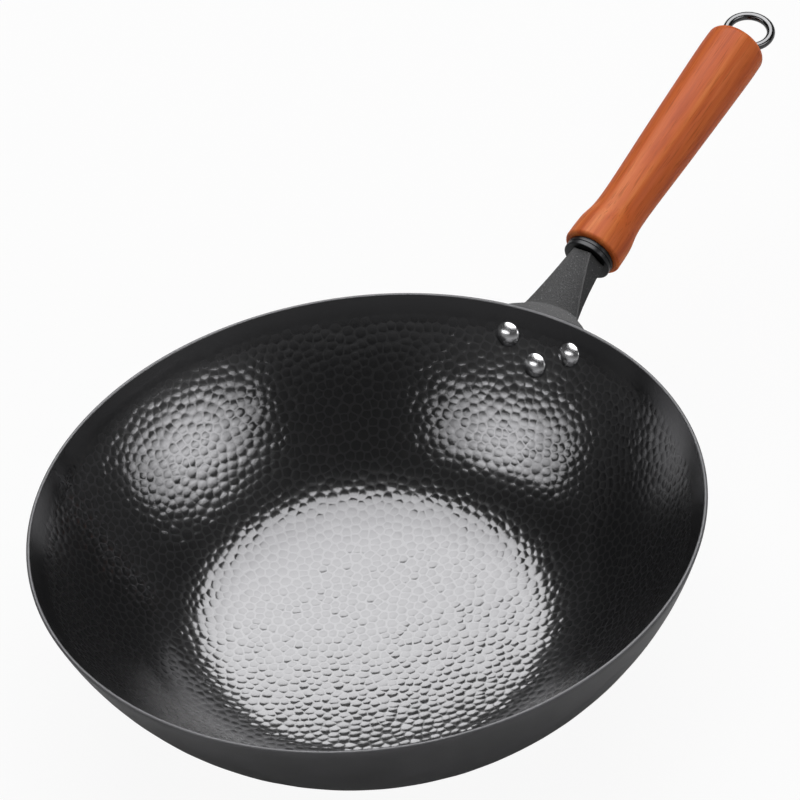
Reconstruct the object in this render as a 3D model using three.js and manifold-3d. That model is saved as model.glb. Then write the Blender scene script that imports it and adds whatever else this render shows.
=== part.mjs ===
// Flat-based wok with a riveted cast bracket, a turned wooden grip and a hanging ring.
// Millimetres, +Z up. The origin is the centre of the underside of the base, the handle runs along +X.

import * as THREE from 'three';
import { mergeVertices } from 'three/addons/utils/BufferGeometryUtils.js';
import Module from 'manifold-3d';

const wasm = await Module();
wasm.setup();

// Gap kept between pieces that touch
const seatGap = 0.3;

// Bowl
const rimRadius = 160;
const bowlHeight = 88;
const wallThickness = 2;
const baseRadius = 73.5;
const baseFillet = 34;
const wallRadius = 286;
const bowlFacets = 84;

// Rivets, measured along the wall from the rim
const rivetUpperDepth = 13.6;
const rivetLowerDepth = 24.7;
const rivetHalfSpacing = 17.6;
const rivetHeadRadius = 6;
const rivetHeadHeight = 3.2;
const rivetHeadEdge = 0.6;
const rivetShankRadius = 2.6;
const rivetTailRadius = 4.4;
const rivetTailHeight = 1.8;
const rivetFacets = 24;

// Bracket pad, a shield on the outer wall with a lobe round each rivet
const padThickness = 3;
const padLobeRadius = 8.5;
const padTopDrop = 0.8;

// Rounded boss between pad and neck; its level top shows as a crescent behind the rim
const bossReach = 6.9;
const bossRadius = 46;
const bossTurnIn = THREE.MathUtils.degToRad(16.84);
const bossDepth = 20;
const bossFacets = 72;

// Handle axis, from a point above the rim
const handleRise = THREE.MathUtils.degToRad(10.2);
const handleAxisDrop = 1.6;

// Bracket neck, a six-sided bar that springs from the boss and narrows to the collar
const neckLength = 36.8;
const neckRootDepth = 14;
const neckBossTopHalf = 14.7;
const neckBossSideHalf = 14.9;
const neckBossSideDrop = 1.2;
const neckBossBottomHalf = 5.5;
const neckBossBottomDrop = 13.2;
const neckEndTopHalf = 4.65;
const neckEndTopHeight = 8.7;
const neckEndSideHalf = 10.2;
const neckEndSideHeight = 0.5;
const neckEndBottomHalf = 4.65;
const neckEndBottomHeight = -7;
const neckHollow = 0.7;
const neckSections = 5;
const neckTopPoints = 7;
const neckTopStep = 0.05;

// Tang and its tapped hole
const tangRadius = 5;
const tangLength = 30;
const tangHoleDepth = 24;

// Ferrule collar
const collarRadius = 12.2;
const collarLength = 4.9;
const collarChamfer = 0.5;
const collarGroove = 0.7;
const collarGrooveWidth = 1.1;
const spigotRadius = 8.6;
const spigotLength = 6;

// Wooden grip, turned
const gripLength = 143.3;
const gripFrontRadius = 14.8;
const gripFrontRound = 1.6;
const gripBulbRadius = 14.4;
const gripBulbLength = 12.7;
const gripWaistRadius = 12.4;
const gripWaistAt = 29.7;
const gripMiddleRadius = 13.75;
const gripMiddleAt = 77;
const gripButtRadius = 15;
const gripButtAt = 125;
const gripButtRound = 4.2;
const gripFacets = 36;

// Tie rod with its eye, the washer under it and the hanging ring
const rodRadius = 2.5;
const rodClearance = 0.5;
const rodThreadLength = 20;
const eyeRadius = 5.4;
const eyeHoleRadius = 2.75;
const eyeThickness = 4.6;
const eyeSink = 0.8;
const eyeRoll = THREE.MathUtils.degToRad(9.4);
const washerRadius = 8.6;
const washerThickness = 1.5;
const counterboreRadius = 9.6;
const ringRadius = 10.8;
const ringWireRadius = 2.05;
const ringDroop = THREE.MathUtils.degToRad(8.8);
const ringFacets = 48;
const ringWireFacets = 12;

// Materials
const iron = new THREE.MeshStandardMaterial({ color: 0x232326, roughness: 0.42, metalness: 0.85 });
const casting = new THREE.MeshStandardMaterial({ color: 0x3a3a3c, roughness: 0.6, metalness: 0.7 });
const blackened = new THREE.MeshStandardMaterial({ color: 0x1b1b1d, roughness: 0.35, metalness: 0.8 });
const polished = new THREE.MeshStandardMaterial({ color: 0xc9cacd, roughness: 0.12, metalness: 1 });
const steel = new THREE.MeshStandardMaterial({ color: 0x9a9ca0, roughness: 0.35, metalness: 1 });
const smoked = new THREE.MeshStandardMaterial({ color: 0x4a4b4e, roughness: 0.12, metalness: 1 });
const wood = new THREE.MeshStandardMaterial({ color: 0xa8502a, roughness: 0.45, metalness: 0 });

// A closed geometry as a solid for joining and cutting
function solid(geometry) {
  const bare = geometry.clone();
  bare.deleteAttribute('normal');
  bare.deleteAttribute('uv');
  const merged = mergeVertices(bare, 1e-4);
  const vertProperties = new Float32Array(merged.attributes.position.array);
  const triVerts = new Uint32Array(merged.index.array);
  return new wasm.Manifold(new wasm.Mesh({ numProp: 3, vertProperties, triVerts }));
}

function geometryOf(body) {
  const mesh = body.getMesh();
  const geometry = new THREE.BufferGeometry();
  geometry.setAttribute('position', new THREE.BufferAttribute(mesh.vertProperties, 3));
  geometry.setIndex(new THREE.BufferAttribute(mesh.triVerts, 1));
  geometry.computeVertexNormals();
  return geometry;
}

// A profile of (radius, height) points turned about Z, listed upwards on the outside
function turned(points, facets) {
  const geometry = new THREE.LatheGeometry(points, facets);
  return geometry.rotateX(Math.PI / 2);
}

// The same about X, for pieces on the handle axis
function turnedAlong(points, facets) {
  return turned(points, facets).rotateY(Math.PI / 2);
}

function point(radius, height) {
  return new THREE.Vector2(radius, height);
}

function arcPoints(centre, radius, from, to, steps) {
  const points = [];
  for (let step = 0; step <= steps; step += 1) {
    const angle = from + ((to - from) * step) / steps;
    points.push(point(centre.x + radius * Math.cos(angle), centre.y + radius * Math.sin(angle)));
  }
  return points;
}

// Bowl wall: a fillet at the base runs into one long arc that ends at the rim.
// Slope angles are measured from the flat base; slope 0 is the base, rimSlope the top of the wall.
const filletCentre = point(baseRadius, baseFillet);
const rimCentre = point(rimRadius - wallThickness / 2, bowlHeight - wallThickness / 2);
const toRim = rimCentre.clone().sub(filletCentre);
const centreGap = wallRadius - baseFillet;
const rimReach = wallRadius - wallThickness / 2;
const turn = Math.acos(
  (centreGap ** 2 + toRim.lengthSq() - rimReach ** 2) / (2 * centreGap * toRim.length()),
);
const towards = toRim.angle() + turn;
const wallCentre = point(
  filletCentre.x + centreGap * Math.cos(towards),
  filletCentre.y + centreGap * Math.sin(towards),
);
const filletSlope = towards - Math.PI / 2;
const rimSlope = Math.PI / 2 + rimCentre.clone().sub(wallCentre).angle() - 2 * Math.PI;
const filletSteps = 6;
const wallSteps = 8;
const rimSteps = 4;
const rightAngle = Math.PI / 2;

// The boss leans from upright by this much, so that its face always dives into the wall
const bossLean = rightAngle - rimSlope + bossTurnIn;

// The outer face of the wall moved outwards by offset, from the base to the given slope
function wallOutline(offset, endSlope) {
  const fillet = arcPoints(
    filletCentre,
    baseFillet + offset,
    -rightAngle,
    filletSlope - rightAngle,
    filletSteps,
  );
  const wall = arcPoints(
    wallCentre,
    wallRadius + offset,
    filletSlope - rightAngle,
    endSlope - rightAngle,
    wallSteps,
  );
  return fillet.concat(wall.slice(1));
}

// Everything inside the outer face moved by offset, carried on above the rim
function wallEnvelope(offset) {
  const outline = wallOutline(offset, rimSlope);
  const top = outline[outline.length - 1];
  const above = bowlHeight + padThickness;
  const points = [point(0, -offset), ...outline, point(top.x + offset, above), point(0, above)];
  return solid(turned(points, bowlFacets));
}

function bowlBody() {
  const outside = wallOutline(0, rimSlope);
  const lip = arcPoints(rimCentre, wallThickness / 2, rimSlope - rightAngle, rimSlope + rightAngle, rimSteps);
  const inside = wallOutline(-wallThickness, rimSlope).reverse();
  const points = [point(0, 0), ...outside, ...lip.slice(1, -1), ...inside, point(0, wallThickness)];
  return solid(turned(points, bowlFacets));
}

// Rivets: local Z points out of the bowl, with 0 on the outer face of the wall
const rivetPlaces = [
  { name: 'rivet_upper_left', depth: rivetUpperDepth, side: 1 },
  { name: 'rivet_upper_right', depth: rivetUpperDepth, side: -1 },
  { name: 'rivet_lower', depth: rivetLowerDepth, side: 0 },
];

function wallPlace(depth) {
  const slope = rimSlope - depth / wallRadius;
  const foot = point(
    wallCentre.x + wallRadius * Math.sin(slope),
    wallCentre.y - wallRadius * Math.cos(slope),
  );
  return { slope, foot };
}

function rivetMatrix(place) {
  const { slope, foot } = wallPlace(place.depth);
  const swing = new THREE.Matrix4().makeRotationZ((place.side * rivetHalfSpacing) / foot.x);
  const move = new THREE.Matrix4().makeTranslation(foot.x, 0, foot.y);
  const lean = new THREE.Matrix4().makeRotationY(Math.PI - slope);
  return swing.multiply(move).multiply(lean);
}

function dome(radius, height, from, to, steps) {
  const ball = (radius ** 2 + height ** 2) / (2 * height);
  const spread = Math.asin(radius / ball);
  const points = [];
  for (let step = 0; step <= steps; step += 1) {
    const angle = spread * (from + ((to - from) * step) / steps);
    points.push(point(ball * Math.sin(angle), ball * Math.cos(angle) - ball + height));
  }
  return points;
}

function rivetGeometry() {
  const headFace = -wallThickness - seatGap;
  const tailFace = seatGap + padThickness + seatGap;
  const capHeight = rivetHeadHeight - rivetHeadEdge;
  const head = dome(rivetHeadRadius, capHeight, 0, 1, 5);
  const tail = dome(rivetTailRadius, rivetTailHeight, 1, 0, 4);
  const points = [
    ...head.map((spot) => point(spot.x, headFace - rivetHeadEdge - spot.y)),
    point(rivetHeadRadius, headFace),
    point(rivetShankRadius, headFace),
    point(rivetShankRadius, tailFace),
    ...tail.map((spot) => point(spot.x, tailFace + spot.y)),
  ];
  return turned(points, rivetFacets);
}

function rivetHole(place) {
  const reach = padThickness + wallThickness + rivetHeadHeight;
  const hole = new THREE.CylinderGeometry(
    rivetShankRadius + seatGap,
    rivetShankRadius + seatGap,
    2 * reach,
    rivetFacets,
  );
  hole.rotateX(rightAngle);
  return solid(hole.applyMatrix4(rivetMatrix(place)));
}

// Handle frame: X along the handle axis from a point above the rim, Z up
function handleMatrix() {
  const move = new THREE.Matrix4().makeTranslation(rimRadius, 0, bowlHeight - handleAxisDrop);
  return move.multiply(new THREE.Matrix4().makeRotationY(-handleRise));
}

// Pad outline: a lobe round each rivet, straight flanks and one arc over the top.
// Drawn with X across the pad and Y up, at the heights of the rivets.
function padOutline() {
  const upper = wallPlace(rivetUpperDepth).foot;
  const lower = wallPlace(rivetLowerDepth).foot;
  const top = bowlHeight - padTopDrop;
  const drop = top - upper.y;
  const across = rivetHalfSpacing;
  const topRadius = (across ** 2 + drop ** 2 - padLobeRadius ** 2) / (2 * (drop - padLobeRadius));
  const topCentre = top - topRadius;
  const shoulder = Math.atan2(upper.y - topCentre, across);
  const flank = Math.atan2(upper.y - lower.y, across) - rightAngle;
  const shape = new THREE.Shape();
  shape.absarc(0, topCentre, topRadius, shoulder, Math.PI - shoulder, false);
  shape.absarc(-across, upper.y, padLobeRadius, Math.PI - shoulder, Math.PI - flank, false);
  shape.absarc(0, lower.y, padLobeRadius, Math.PI - flank, 2 * Math.PI + flank, false);
  shape.absarc(across, upper.y, padLobeRadius, flank, shoulder, false);
  return shape;
}

function padBody() {
  const depth = rimRadius;
  const plate = new THREE.ExtrudeGeometry(padOutline(), { depth, bevelEnabled: false, curveSegments: 7 });
  plate.rotateX(rightAngle);
  plate.rotateZ(rightAngle);
  plate.translate(rimRadius / 2, 0, 0);
  return solid(plate).intersect(wallEnvelope(seatGap + padThickness));
}

// A rounded block whose outer face leans back into the wall, cut level just below the rim
function bossBody() {
  const top = bowlHeight - padTopDrop;
  const length = 3 * bossRadius;
  const block = new THREE.CylinderGeometry(bossRadius, bossRadius, length, bossFacets);
  block.rotateX(rightAngle);
  block.rotateY(bossLean);
  block.translate(rimRadius + bossReach - bossRadius / Math.cos(bossLean), 0, top);
  const below = new THREE.BoxGeometry(2 * length, length, bossDepth);
  below.translate(rimRadius - bossRadius, 0, top - bossDepth / 2);
  return solid(block).intersect(solid(below));
}

// One neck section: points along the top edge, then the side, bottom and other side corners
function neckSection(top, side, bottom) {
  const mirrored = (corner) => new THREE.Vector3(corner.x, -corner.y, corner.z);
  return [...top, mirrored(side), mirrored(bottom), bottom, side];
}

// Points across the top edge, from the left side to the right
function acrossTop(half, place) {
  const points = [];
  for (let step = 0; step < neckTopPoints; step += 1) {
    const across = half * (1 - (2 * step) / (neckTopPoints - 1));
    points.push(place(across));
  }
  return points;
}

// A closed skin over a list of sections that have the same number of corners
function loft(sections) {
  const corners = sections[0].length;
  const last = corners * (sections.length - 1);
  const positions = sections.flat().flatMap((corner) => corner.toArray());
  const faces = [];
  for (let base = 0; base < last; base += corners) {
    for (let corner = 0; corner < corners; corner += 1) {
      const next = (corner + 1) % corners;
      faces.push(base + corner, base + next, base + corners + next);
      faces.push(base + corner, base + corners + next, base + corners + corner);
    }
  }
  for (let corner = 1; corner < corners - 1; corner += 1) {
    faces.push(0, corner + 1, corner);
    faces.push(last, last + corner, last + corner + 1);
  }
  const geometry = new THREE.BufferGeometry();
  geometry.setAttribute('position', new THREE.Float32BufferAttribute(positions, 3));
  geometry.setIndex(faces);
  return geometry;
}

function neckBody() {
  const top = bowlHeight - padTopDrop - neckTopStep;
  const edge = rimRadius + bossReach;
  const planRadius = bossRadius * Math.cos(bossLean);
  const onBoss = (across) => new THREE.Vector3(edge - across ** 2 / (2 * planRadius), across, top);
  const side = onBoss(neckBossSideHalf);
  side.z -= neckBossSideDrop;
  const bottom = new THREE.Vector3(rimRadius, neckBossBottomHalf, top - neckBossBottomDrop);
  const atBoss = neckSection(acrossTop(neckBossTopHalf, onBoss), side, bottom);
  const toWorld = handleMatrix();
  const onHandle = (across, height) => new THREE.Vector3(neckLength, across, height).applyMatrix4(toWorld);
  const atEnd = neckSection(
    acrossTop(neckEndTopHalf, (across) => onHandle(across, neckEndTopHeight)),
    onHandle(neckEndSideHalf, neckEndSideHeight),
    onHandle(neckEndBottomHalf, neckEndBottomHeight),
  );
  const inwards = new THREE.Vector3(-neckRootDepth, 0, -neckTopStep);
  const sections = [atBoss.map((corner) => corner.clone().add(inwards))];
  for (let step = 0; step < neckSections; step += 1) {
    const share = step / (neckSections - 1);
    const narrower = 4 * share * (1 - share) * neckHollow;
    const section = atBoss.map((corner, index) => corner.clone().lerp(atEnd[index], share));
    const half = section[section.length - 1].y;
    section.forEach((corner) => {
      corner.y *= 1 - narrower / half;
    });
    sections.push(section);
  }
  return solid(loft(sections));
}

function bracketBody() {
  const tangProfile = [
    point(0, 0),
    point(tangRadius, 0),
    point(tangRadius, neckLength + tangLength),
    point(rodRadius + seatGap, neckLength + tangLength),
    point(rodRadius + seatGap, neckLength + tangLength - tangHoleDepth),
    point(0, neckLength + tangLength - tangHoleDepth),
  ];
  const tang = solid(turnedAlong(tangProfile, rivetFacets).applyMatrix4(handleMatrix()));
  let body = padBody().add(bossBody()).add(neckBody()).add(tang).subtract(wallEnvelope(seatGap));
  for (const place of rivetPlaces) {
    body = body.subtract(rivetHole(place));
  }
  return body;
}

// Places along the handle axis
const collarAt = neckLength + seatGap;
const gripAt = collarAt + collarLength + seatGap;
const gripEnd = gripAt + gripLength;
const eyeAt = gripEnd - eyeSink;
const washerAt = eyeAt - eyeRadius - seatGap - washerThickness;
const counterboreAt = washerAt - seatGap;
const tangEnd = neckLength + tangLength;

function collarGeometry() {
  const bore = tangRadius + seatGap;
  const grooveFrom = collarAt + (collarLength - collarGrooveWidth) / 2;
  const back = collarAt + collarLength;
  const points = [
    point(bore, collarAt),
    point(collarRadius - collarChamfer, collarAt),
    point(collarRadius, collarAt + collarChamfer),
    point(collarRadius, grooveFrom),
    point(collarRadius - collarGroove, grooveFrom + collarGrooveWidth / 4),
    point(collarRadius - collarGroove, grooveFrom + (3 * collarGrooveWidth) / 4),
    point(collarRadius, grooveFrom + collarGrooveWidth),
    point(collarRadius, back - collarChamfer),
    point(collarRadius - collarChamfer, back),
    point(spigotRadius, back),
    point(spigotRadius, back + spigotLength),
    point(bore, back + spigotLength),
    point(bore, collarAt),
  ];
  return turnedAlong(points, gripFacets);
}

function gripGeometry() {
  const front = arcPoints(
    point(gripFrontRadius - gripFrontRound, gripAt + gripFrontRound),
    gripFrontRound,
    -rightAngle,
    0,
    3,
  );
  const body = new THREE.SplineCurve([
    point(gripFrontRadius, gripAt + gripFrontRound),
    point(gripBulbRadius, gripAt + gripBulbLength),
    point(gripWaistRadius, gripAt + gripWaistAt),
    point(gripMiddleRadius, gripAt + gripMiddleAt),
    point(gripButtRadius, gripAt + gripButtAt),
    point(gripButtRadius, gripEnd - gripButtRound),
  ]).getPoints(18);
  const butt = arcPoints(
    point(gripButtRadius - gripButtRound, gripEnd - gripButtRound),
    gripButtRound,
    0,
    rightAngle,
    5,
  );
  const rodBore = rodRadius + rodClearance;
  const tangBore = tangRadius + seatGap;
  const socketRadius = spigotRadius + seatGap;
  const socketEnd = collarAt + collarLength + spigotLength + seatGap;
  const points = [
    point(socketRadius, gripAt),
    ...front,
    ...body.slice(1),
    ...butt.slice(1),
    point(counterboreRadius, gripEnd),
    point(counterboreRadius, counterboreAt),
    point(rodBore, counterboreAt),
    point(rodBore, tangEnd + seatGap),
    point(tangBore, tangEnd + seatGap),
    point(tangBore, socketEnd),
    point(socketRadius, socketEnd),
    point(socketRadius, gripAt),
  ];
  return turnedAlong(points, gripFacets);
}

function tieRodGeometry() {
  const rodFrom = tangEnd - rodThreadLength;
  const rodTo = eyeAt - (eyeRadius + eyeHoleRadius) / 2;
  const shaft = turnedAlong(
    [point(0, rodFrom), point(rodRadius, rodFrom), point(rodRadius, rodTo), point(0, rodTo)],
    rivetFacets,
  );
  const half = eyeThickness / 2;
  const round = (eyeRadius - eyeHoleRadius) / 4;
  const eyeProfile = [
    point(eyeHoleRadius + round, -half),
    point(eyeRadius - round, -half),
    point(eyeRadius, -half + round),
    point(eyeRadius, half - round),
    point(eyeRadius - round, half),
    point(eyeHoleRadius + round, half),
    point(eyeHoleRadius, half - round),
    point(eyeHoleRadius, -half + round),
    point(eyeHoleRadius + round, -half),
  ];
  const eye = turned(eyeProfile, rivetFacets).rotateX(rightAngle).translate(eyeAt, 0, 0);
  return geometryOf(solid(shaft).add(solid(eye)));
}

function washerGeometry() {
  const hole = rodRadius + seatGap;
  const points = [
    point(hole, washerAt),
    point(washerRadius, washerAt),
    point(washerRadius, washerAt + washerThickness),
    point(hole, washerAt + washerThickness),
    point(hole, washerAt),
  ];
  return turnedAlong(points, rivetFacets);
}

function piece(name, geometry, material) {
  const mesh = new THREE.Mesh(geometry, material);
  mesh.name = name;
  return mesh;
}

const wok = new THREE.Group();

let bowl = bowlBody();
for (const place of rivetPlaces) {
  bowl = bowl.subtract(rivetHole(place));
}
wok.add(piece('wok_bowl', geometryOf(bowl), iron));
wok.add(piece('handle_bracket', geometryOf(bracketBody()), casting));

for (const place of rivetPlaces) {
  const rivet = piece(place.name, rivetGeometry(), polished.clone());
  rivet.applyMatrix4(rivetMatrix(place));
  wok.add(rivet);
}

const handle = new THREE.Group();
handle.applyMatrix4(handleMatrix());
handle.add(piece('ferrule_collar', collarGeometry(), blackened));
handle.add(piece('handle_grip', gripGeometry(), wood));
handle.add(piece('end_washer', washerGeometry(), steel));

// The screwed-up rod stops at its own roll, which turns the eye and the ring with it
const rolled = new THREE.Group();
rolled.rotation.x = eyeRoll;
rolled.add(piece('tie_rod', tieRodGeometry(), steel.clone()));

const ringPivot = new THREE.Group();
ringPivot.position.x = eyeAt;
ringPivot.rotation.y = ringDroop;
const ring = piece(
  'hanging_ring',
  new THREE.TorusGeometry(ringRadius, ringWireRadius, ringWireFacets, ringFacets),
  smoked,
);
ring.position.x = ringRadius;
ringPivot.add(ring);
rolled.add(ringPivot);
handle.add(rolled);
wok.add(handle);

export default wok;
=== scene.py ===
import math
import random

import bpy
import numpy as np
from mathutils import Matrix, Vector, noise
from mathutils.geometry import delaunay_2d_cdt


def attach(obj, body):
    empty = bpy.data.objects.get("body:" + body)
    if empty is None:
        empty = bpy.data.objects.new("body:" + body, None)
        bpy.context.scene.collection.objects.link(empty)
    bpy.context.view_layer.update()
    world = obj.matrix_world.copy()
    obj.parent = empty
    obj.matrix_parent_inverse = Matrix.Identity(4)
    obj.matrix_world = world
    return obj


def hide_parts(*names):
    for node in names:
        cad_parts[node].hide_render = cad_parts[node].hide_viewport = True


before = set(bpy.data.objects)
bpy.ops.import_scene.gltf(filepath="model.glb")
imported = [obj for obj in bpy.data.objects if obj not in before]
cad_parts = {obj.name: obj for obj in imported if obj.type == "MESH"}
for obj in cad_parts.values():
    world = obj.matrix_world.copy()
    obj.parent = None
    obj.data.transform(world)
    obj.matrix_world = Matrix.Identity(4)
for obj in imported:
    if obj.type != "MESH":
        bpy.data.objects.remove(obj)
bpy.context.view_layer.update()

mm = 0.001
scene = bpy.context.scene
scene.view_settings.view_transform = "Standard"
print("frame loaded:", len(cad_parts), "nodes")


# A socket that takes part in plain arithmetic, and makes any node
class Wire:
    def __init__(self, tree, socket=None):
        self.tree = tree
        self.socket = socket

    def node(self, kind, settings=None, values=None, output=0):
        made = self.tree.nodes.new("ShaderNode" + kind)
        for key, value in (settings or {}).items():
            if key == "stops":
                elements = made.color_ramp.elements
                for index, (place, colour) in enumerate(value):
                    element = elements[index] if index < len(elements) else elements.new(place)
                    element.position = place
                    element.color = (*colour, 1)
            else:
                setattr(made, key, value)
        for key, value in (values or {}).items():
            if isinstance(value, Wire):
                self.tree.links.new(value.socket, made.inputs[key])
            else:
                made.inputs[key].default_value = value
        return Wire(self.tree, made.outputs[output])

    def maths(self, operation, *values):
        return self.node("Math", {"operation": operation}, dict(enumerate(values)))

    def __add__(self, other):
        return self.maths("ADD", self, other)

    def __radd__(self, other):
        return self.maths("ADD", other, self)

    def __sub__(self, other):
        return self.maths("SUBTRACT", self, other)

    def __rsub__(self, other):
        return self.maths("SUBTRACT", other, self)

    def __mul__(self, other):
        return self.maths("MULTIPLY", self, other)

    def __rmul__(self, other):
        return self.maths("MULTIPLY", other, self)

    def span(self, low, high, toLow=0.0, toHigh=1.0):
        names = ("Value", "From Min", "From Max", "To Min", "To Max")
        return self.node("MapRange", {}, dict(zip(names, (self, low, high, toLow, toHigh))))

    def blend(self, first, second):
        colours = {0: self, 6: first, 7: second}
        return self.node("Mix", {"data_type": "RGBA"}, colours, 2)


def paint(red, green, blue):
    # a colour as read off a screen, 0 to 255, to the shader's linear one
    def linear(value):
        share = value / 255
        return share / 12.92 if share <= 0.04045 else ((share + 0.055) / 1.055) ** 2.4
    return (linear(red), linear(green), linear(blue), 1)


def newFinish(name, **constants):
    material = bpy.data.materials.new(name)
    material.use_nodes = True
    shader = material.node_tree.nodes["Principled BSDF"]
    for key, value in constants.items():
        shader.inputs[key.replace("_", " ")].default_value = value
    wire = Wire(material.node_tree)
    place = wire.node("TexCoord", output="Object")
    return material, shader, wire, place


def drive(shader, socket, wire):
    wire.tree.links.new(wire.socket, shader.inputs[socket])


# Camera: the photograph's own view, from far off
photoView = {
    "eye": (-2.4313, -1.9326, 2.8366),
    "azimuth": 38.05,
    "elevation": 40.8,
    "roll": 8.1,
    "lens": 400,
    "sensor": 36,
    "clipEnd": 200,
}


def makeCamera():
    azimuth, elevation, roll = (math.radians(photoView[k]) for k in ("azimuth", "elevation", "roll"))
    flat = math.cos(elevation)
    forward = Vector((math.cos(azimuth) * flat, math.sin(azimuth) * flat, -math.sin(elevation)))
    side = forward.cross(Vector((0, 0, 1))).normalized()
    drop = forward.cross(side)
    right = side * math.cos(roll) + drop * math.sin(roll)
    down = drop * math.cos(roll) - side * math.sin(roll)
    data = bpy.data.cameras.new("photoCamera")
    data.lens = photoView["lens"]
    data.sensor_width = photoView["sensor"]
    data.clip_end = photoView["clipEnd"]
    camera = bpy.data.objects.new("photoCamera", data)
    scene.collection.objects.link(camera)
    turn = Matrix((right, -down, -forward)).transposed().to_4x4()
    camera.matrix_world = Matrix.Translation(photoView["eye"]) @ turn
    scene.camera = camera


makeCamera()
print("camera set")


# Studio: a broad soft box overhead and one on each side of the camera
studio = {
    "backAzimuth": 38.5,
    "overhead": {"height": 2.6, "near": 0.3, "far": 1.56, "left": 0.58, "right": 0.89, "glow": 2.0},
    "leftBox": {
        "azimuth": 152, "elevation": 33, "tilt": 19.7,
        "size": (2.62, 0.62), "aim": (0.124, 0.01, 0.039),
    },
    "rightBox": {
        "azimuth": -79, "elevation": 27, "tilt": -16.3,
        "size": (2.5, 0.66), "aim": (0.041, 0.129, 0.053),
    },
    "sideDistance": 2.6,
    "sideGlow": 0.7,
    # share of the box's size, and how bright that much of it looks in gloss
    "topSheen": ((1.0, 3.5), (0.78, 0.7), (0.5, 0.6)),
    "sideSheen": ((1.0, 2.2), (0.7, 1.6), (0.4, 2.4)),
    "sheenGap": 0.03,
    "roomGlow": (0.7, 0.07),     # just above the horizon and overhead
    "roomSpan": (0.0, 0.5),
    "horizonGlow": 0.35,
    "horizonSpan": (0.03, 0.16),
    "backShare": 0.25,           # how much of that glow is left away from the camera
    "frontSpan": (0.1, 0.9),
    "floorSize": 60,
    "floorDrop": 0.4,
    "floorWhite": 0.86,
    "floorGlow": 0.93,           # the rest of the floor's white is lit, and keeps the shadow
}


def addBox(name, spot, aim, size, glow, sheen):
    # the first lamp lights the object, those just behind it show in gloss alone
    for layer, (share, bright) in enumerate([(1.0, glow), *sheen]):
        lamp = bpy.data.lights.new(name + str(layer), "AREA")
        lamp.shape = "ELLIPSE"
        lamp.size, lamp.size_y = size[0] * share, size[1] * share
        lamp.energy = bright * math.pi * math.pi / 4 * lamp.size * lamp.size_y
        box = bpy.data.objects.new(name + str(layer), lamp)
        scene.collection.objects.link(box)
        box.matrix_world = Matrix.Translation(spot + aim.col[2] * layer * studio["sheenGap"]) @ aim.to_4x4()
        box.visible_camera = False
        box.visible_diffuse = layer == 0


def makeStudio():
    back = math.radians(studio["backAzimuth"])
    along = Vector((math.cos(back), math.sin(back), 0))
    aside = Vector((math.sin(back), -math.cos(back), 0))
    top = studio["overhead"]
    height = top["height"]
    middle = along * (top["far"] - top["near"]) / 2 + aside * (top["right"] - top["left"]) / 2
    size = (height * (top["left"] + top["right"]), height * (top["near"] + top["far"]))
    level = Matrix((aside, along, Vector((0, 0, 1)))).transposed()
    spot = middle * height + Vector((0, 0, height))
    addBox("overheadBox", spot, level, size, top["glow"], studio["topSheen"])
    for name in ("leftBox", "rightBox"):
        side = studio[name]
        azimuth, elevation = math.radians(side["azimuth"]), math.radians(side["elevation"])
        flat = math.cos(elevation)
        out = Vector((math.cos(azimuth) * flat, math.sin(azimuth) * flat, math.sin(elevation)))
        across = Vector((0, 0, 1)).cross(out).normalized()
        facing = Matrix((across, out.cross(across), out)).transposed()
        facing = facing @ Matrix.Rotation(math.radians(side["tilt"]), 3, "Z")
        spot = Vector(side["aim"]) + out * studio["sideDistance"]
        addBox(name, spot, facing, side["size"], studio["sideGlow"], studio["sideSheen"])

    world = bpy.data.worlds.new("room")
    scene.world = world
    world.use_nodes = True
    wire = Wire(world.node_tree)
    seen = wire.node("LightPath", output="Is Camera Ray")
    way = wire.node("TexCoord", output="Generated")
    east, north, sky = (wire.node("SeparateXYZ", values={0: way}, output=axis) for axis in "XYZ")
    front = east * -along.x - north * along.y
    room = sky.span(*studio["roomSpan"], *studio["roomGlow"])
    room = room + sky.span(*studio["horizonSpan"], studio["horizonGlow"], 0.0)
    room = room * front.span(*studio["frontSpan"], studio["backShare"], 1.0)
    strength = seen + (1 - seen) * room
    sheet = world.node_tree.nodes["Background"]
    sheet.inputs["Color"].default_value = (1, 1, 1, 1)
    world.node_tree.links.new(strength.socket, sheet.inputs["Strength"])

    bpy.ops.object.select_all(action="DESELECT")
    bpy.ops.mesh.primitive_plane_add(size=studio["floorSize"], location=(0, 0, -studio["floorDrop"] * mm))
    floor = bpy.context.object
    floor.name = "studioFloor"
    material, shader, wire, _ = newFinish("palePaper", Roughness=0.9)
    shader.inputs["Base Color"].default_value = (studio["floorWhite"],) * 3 + (1,)
    shader.inputs["Specular IOR Level"].default_value = 0
    glow = wire.node("Emission", values={"Color": (1, 1, 1, 1), "Strength": 1.0})
    seen = wire.node("LightPath", output="Is Camera Ray")
    lit = Wire(wire.tree, shader.outputs[0])
    both = wire.node("MixShader", values={0: seen * studio["floorGlow"], 1: lit, 2: glow})
    wire.tree.links.new(both.socket, wire.tree.nodes["Material Output"].inputs["Surface"])
    floor.data.materials.append(material)


makeStudio()
print("studio lit")


# Finishes
ironLook = {
    "dark": ((0.008, 0.008, 0.0084, 1), (0.012, 0.012, 0.0126, 1)),
    # lighter colour of the ground between the dents: partly wear, partly painted sheen
    "worn": (0.02, 0.02, 0.021, 1),
    "wornAndSheenSpan": (0.7, 1.0),
    "matte": ((0.044, 0.044, 0.046, 1), (0.064, 0.064, 0.067, 1)),
    "matteSpan": (0.35, 0.65),
    "coat": 0.34,
    "roughness": 0.06,
    "cloudy": 0.05,    # more roughness from the clouds, the fine grain and where it is matte
    "grainy": 0.04,
    "dull": 0.4,
}


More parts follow.
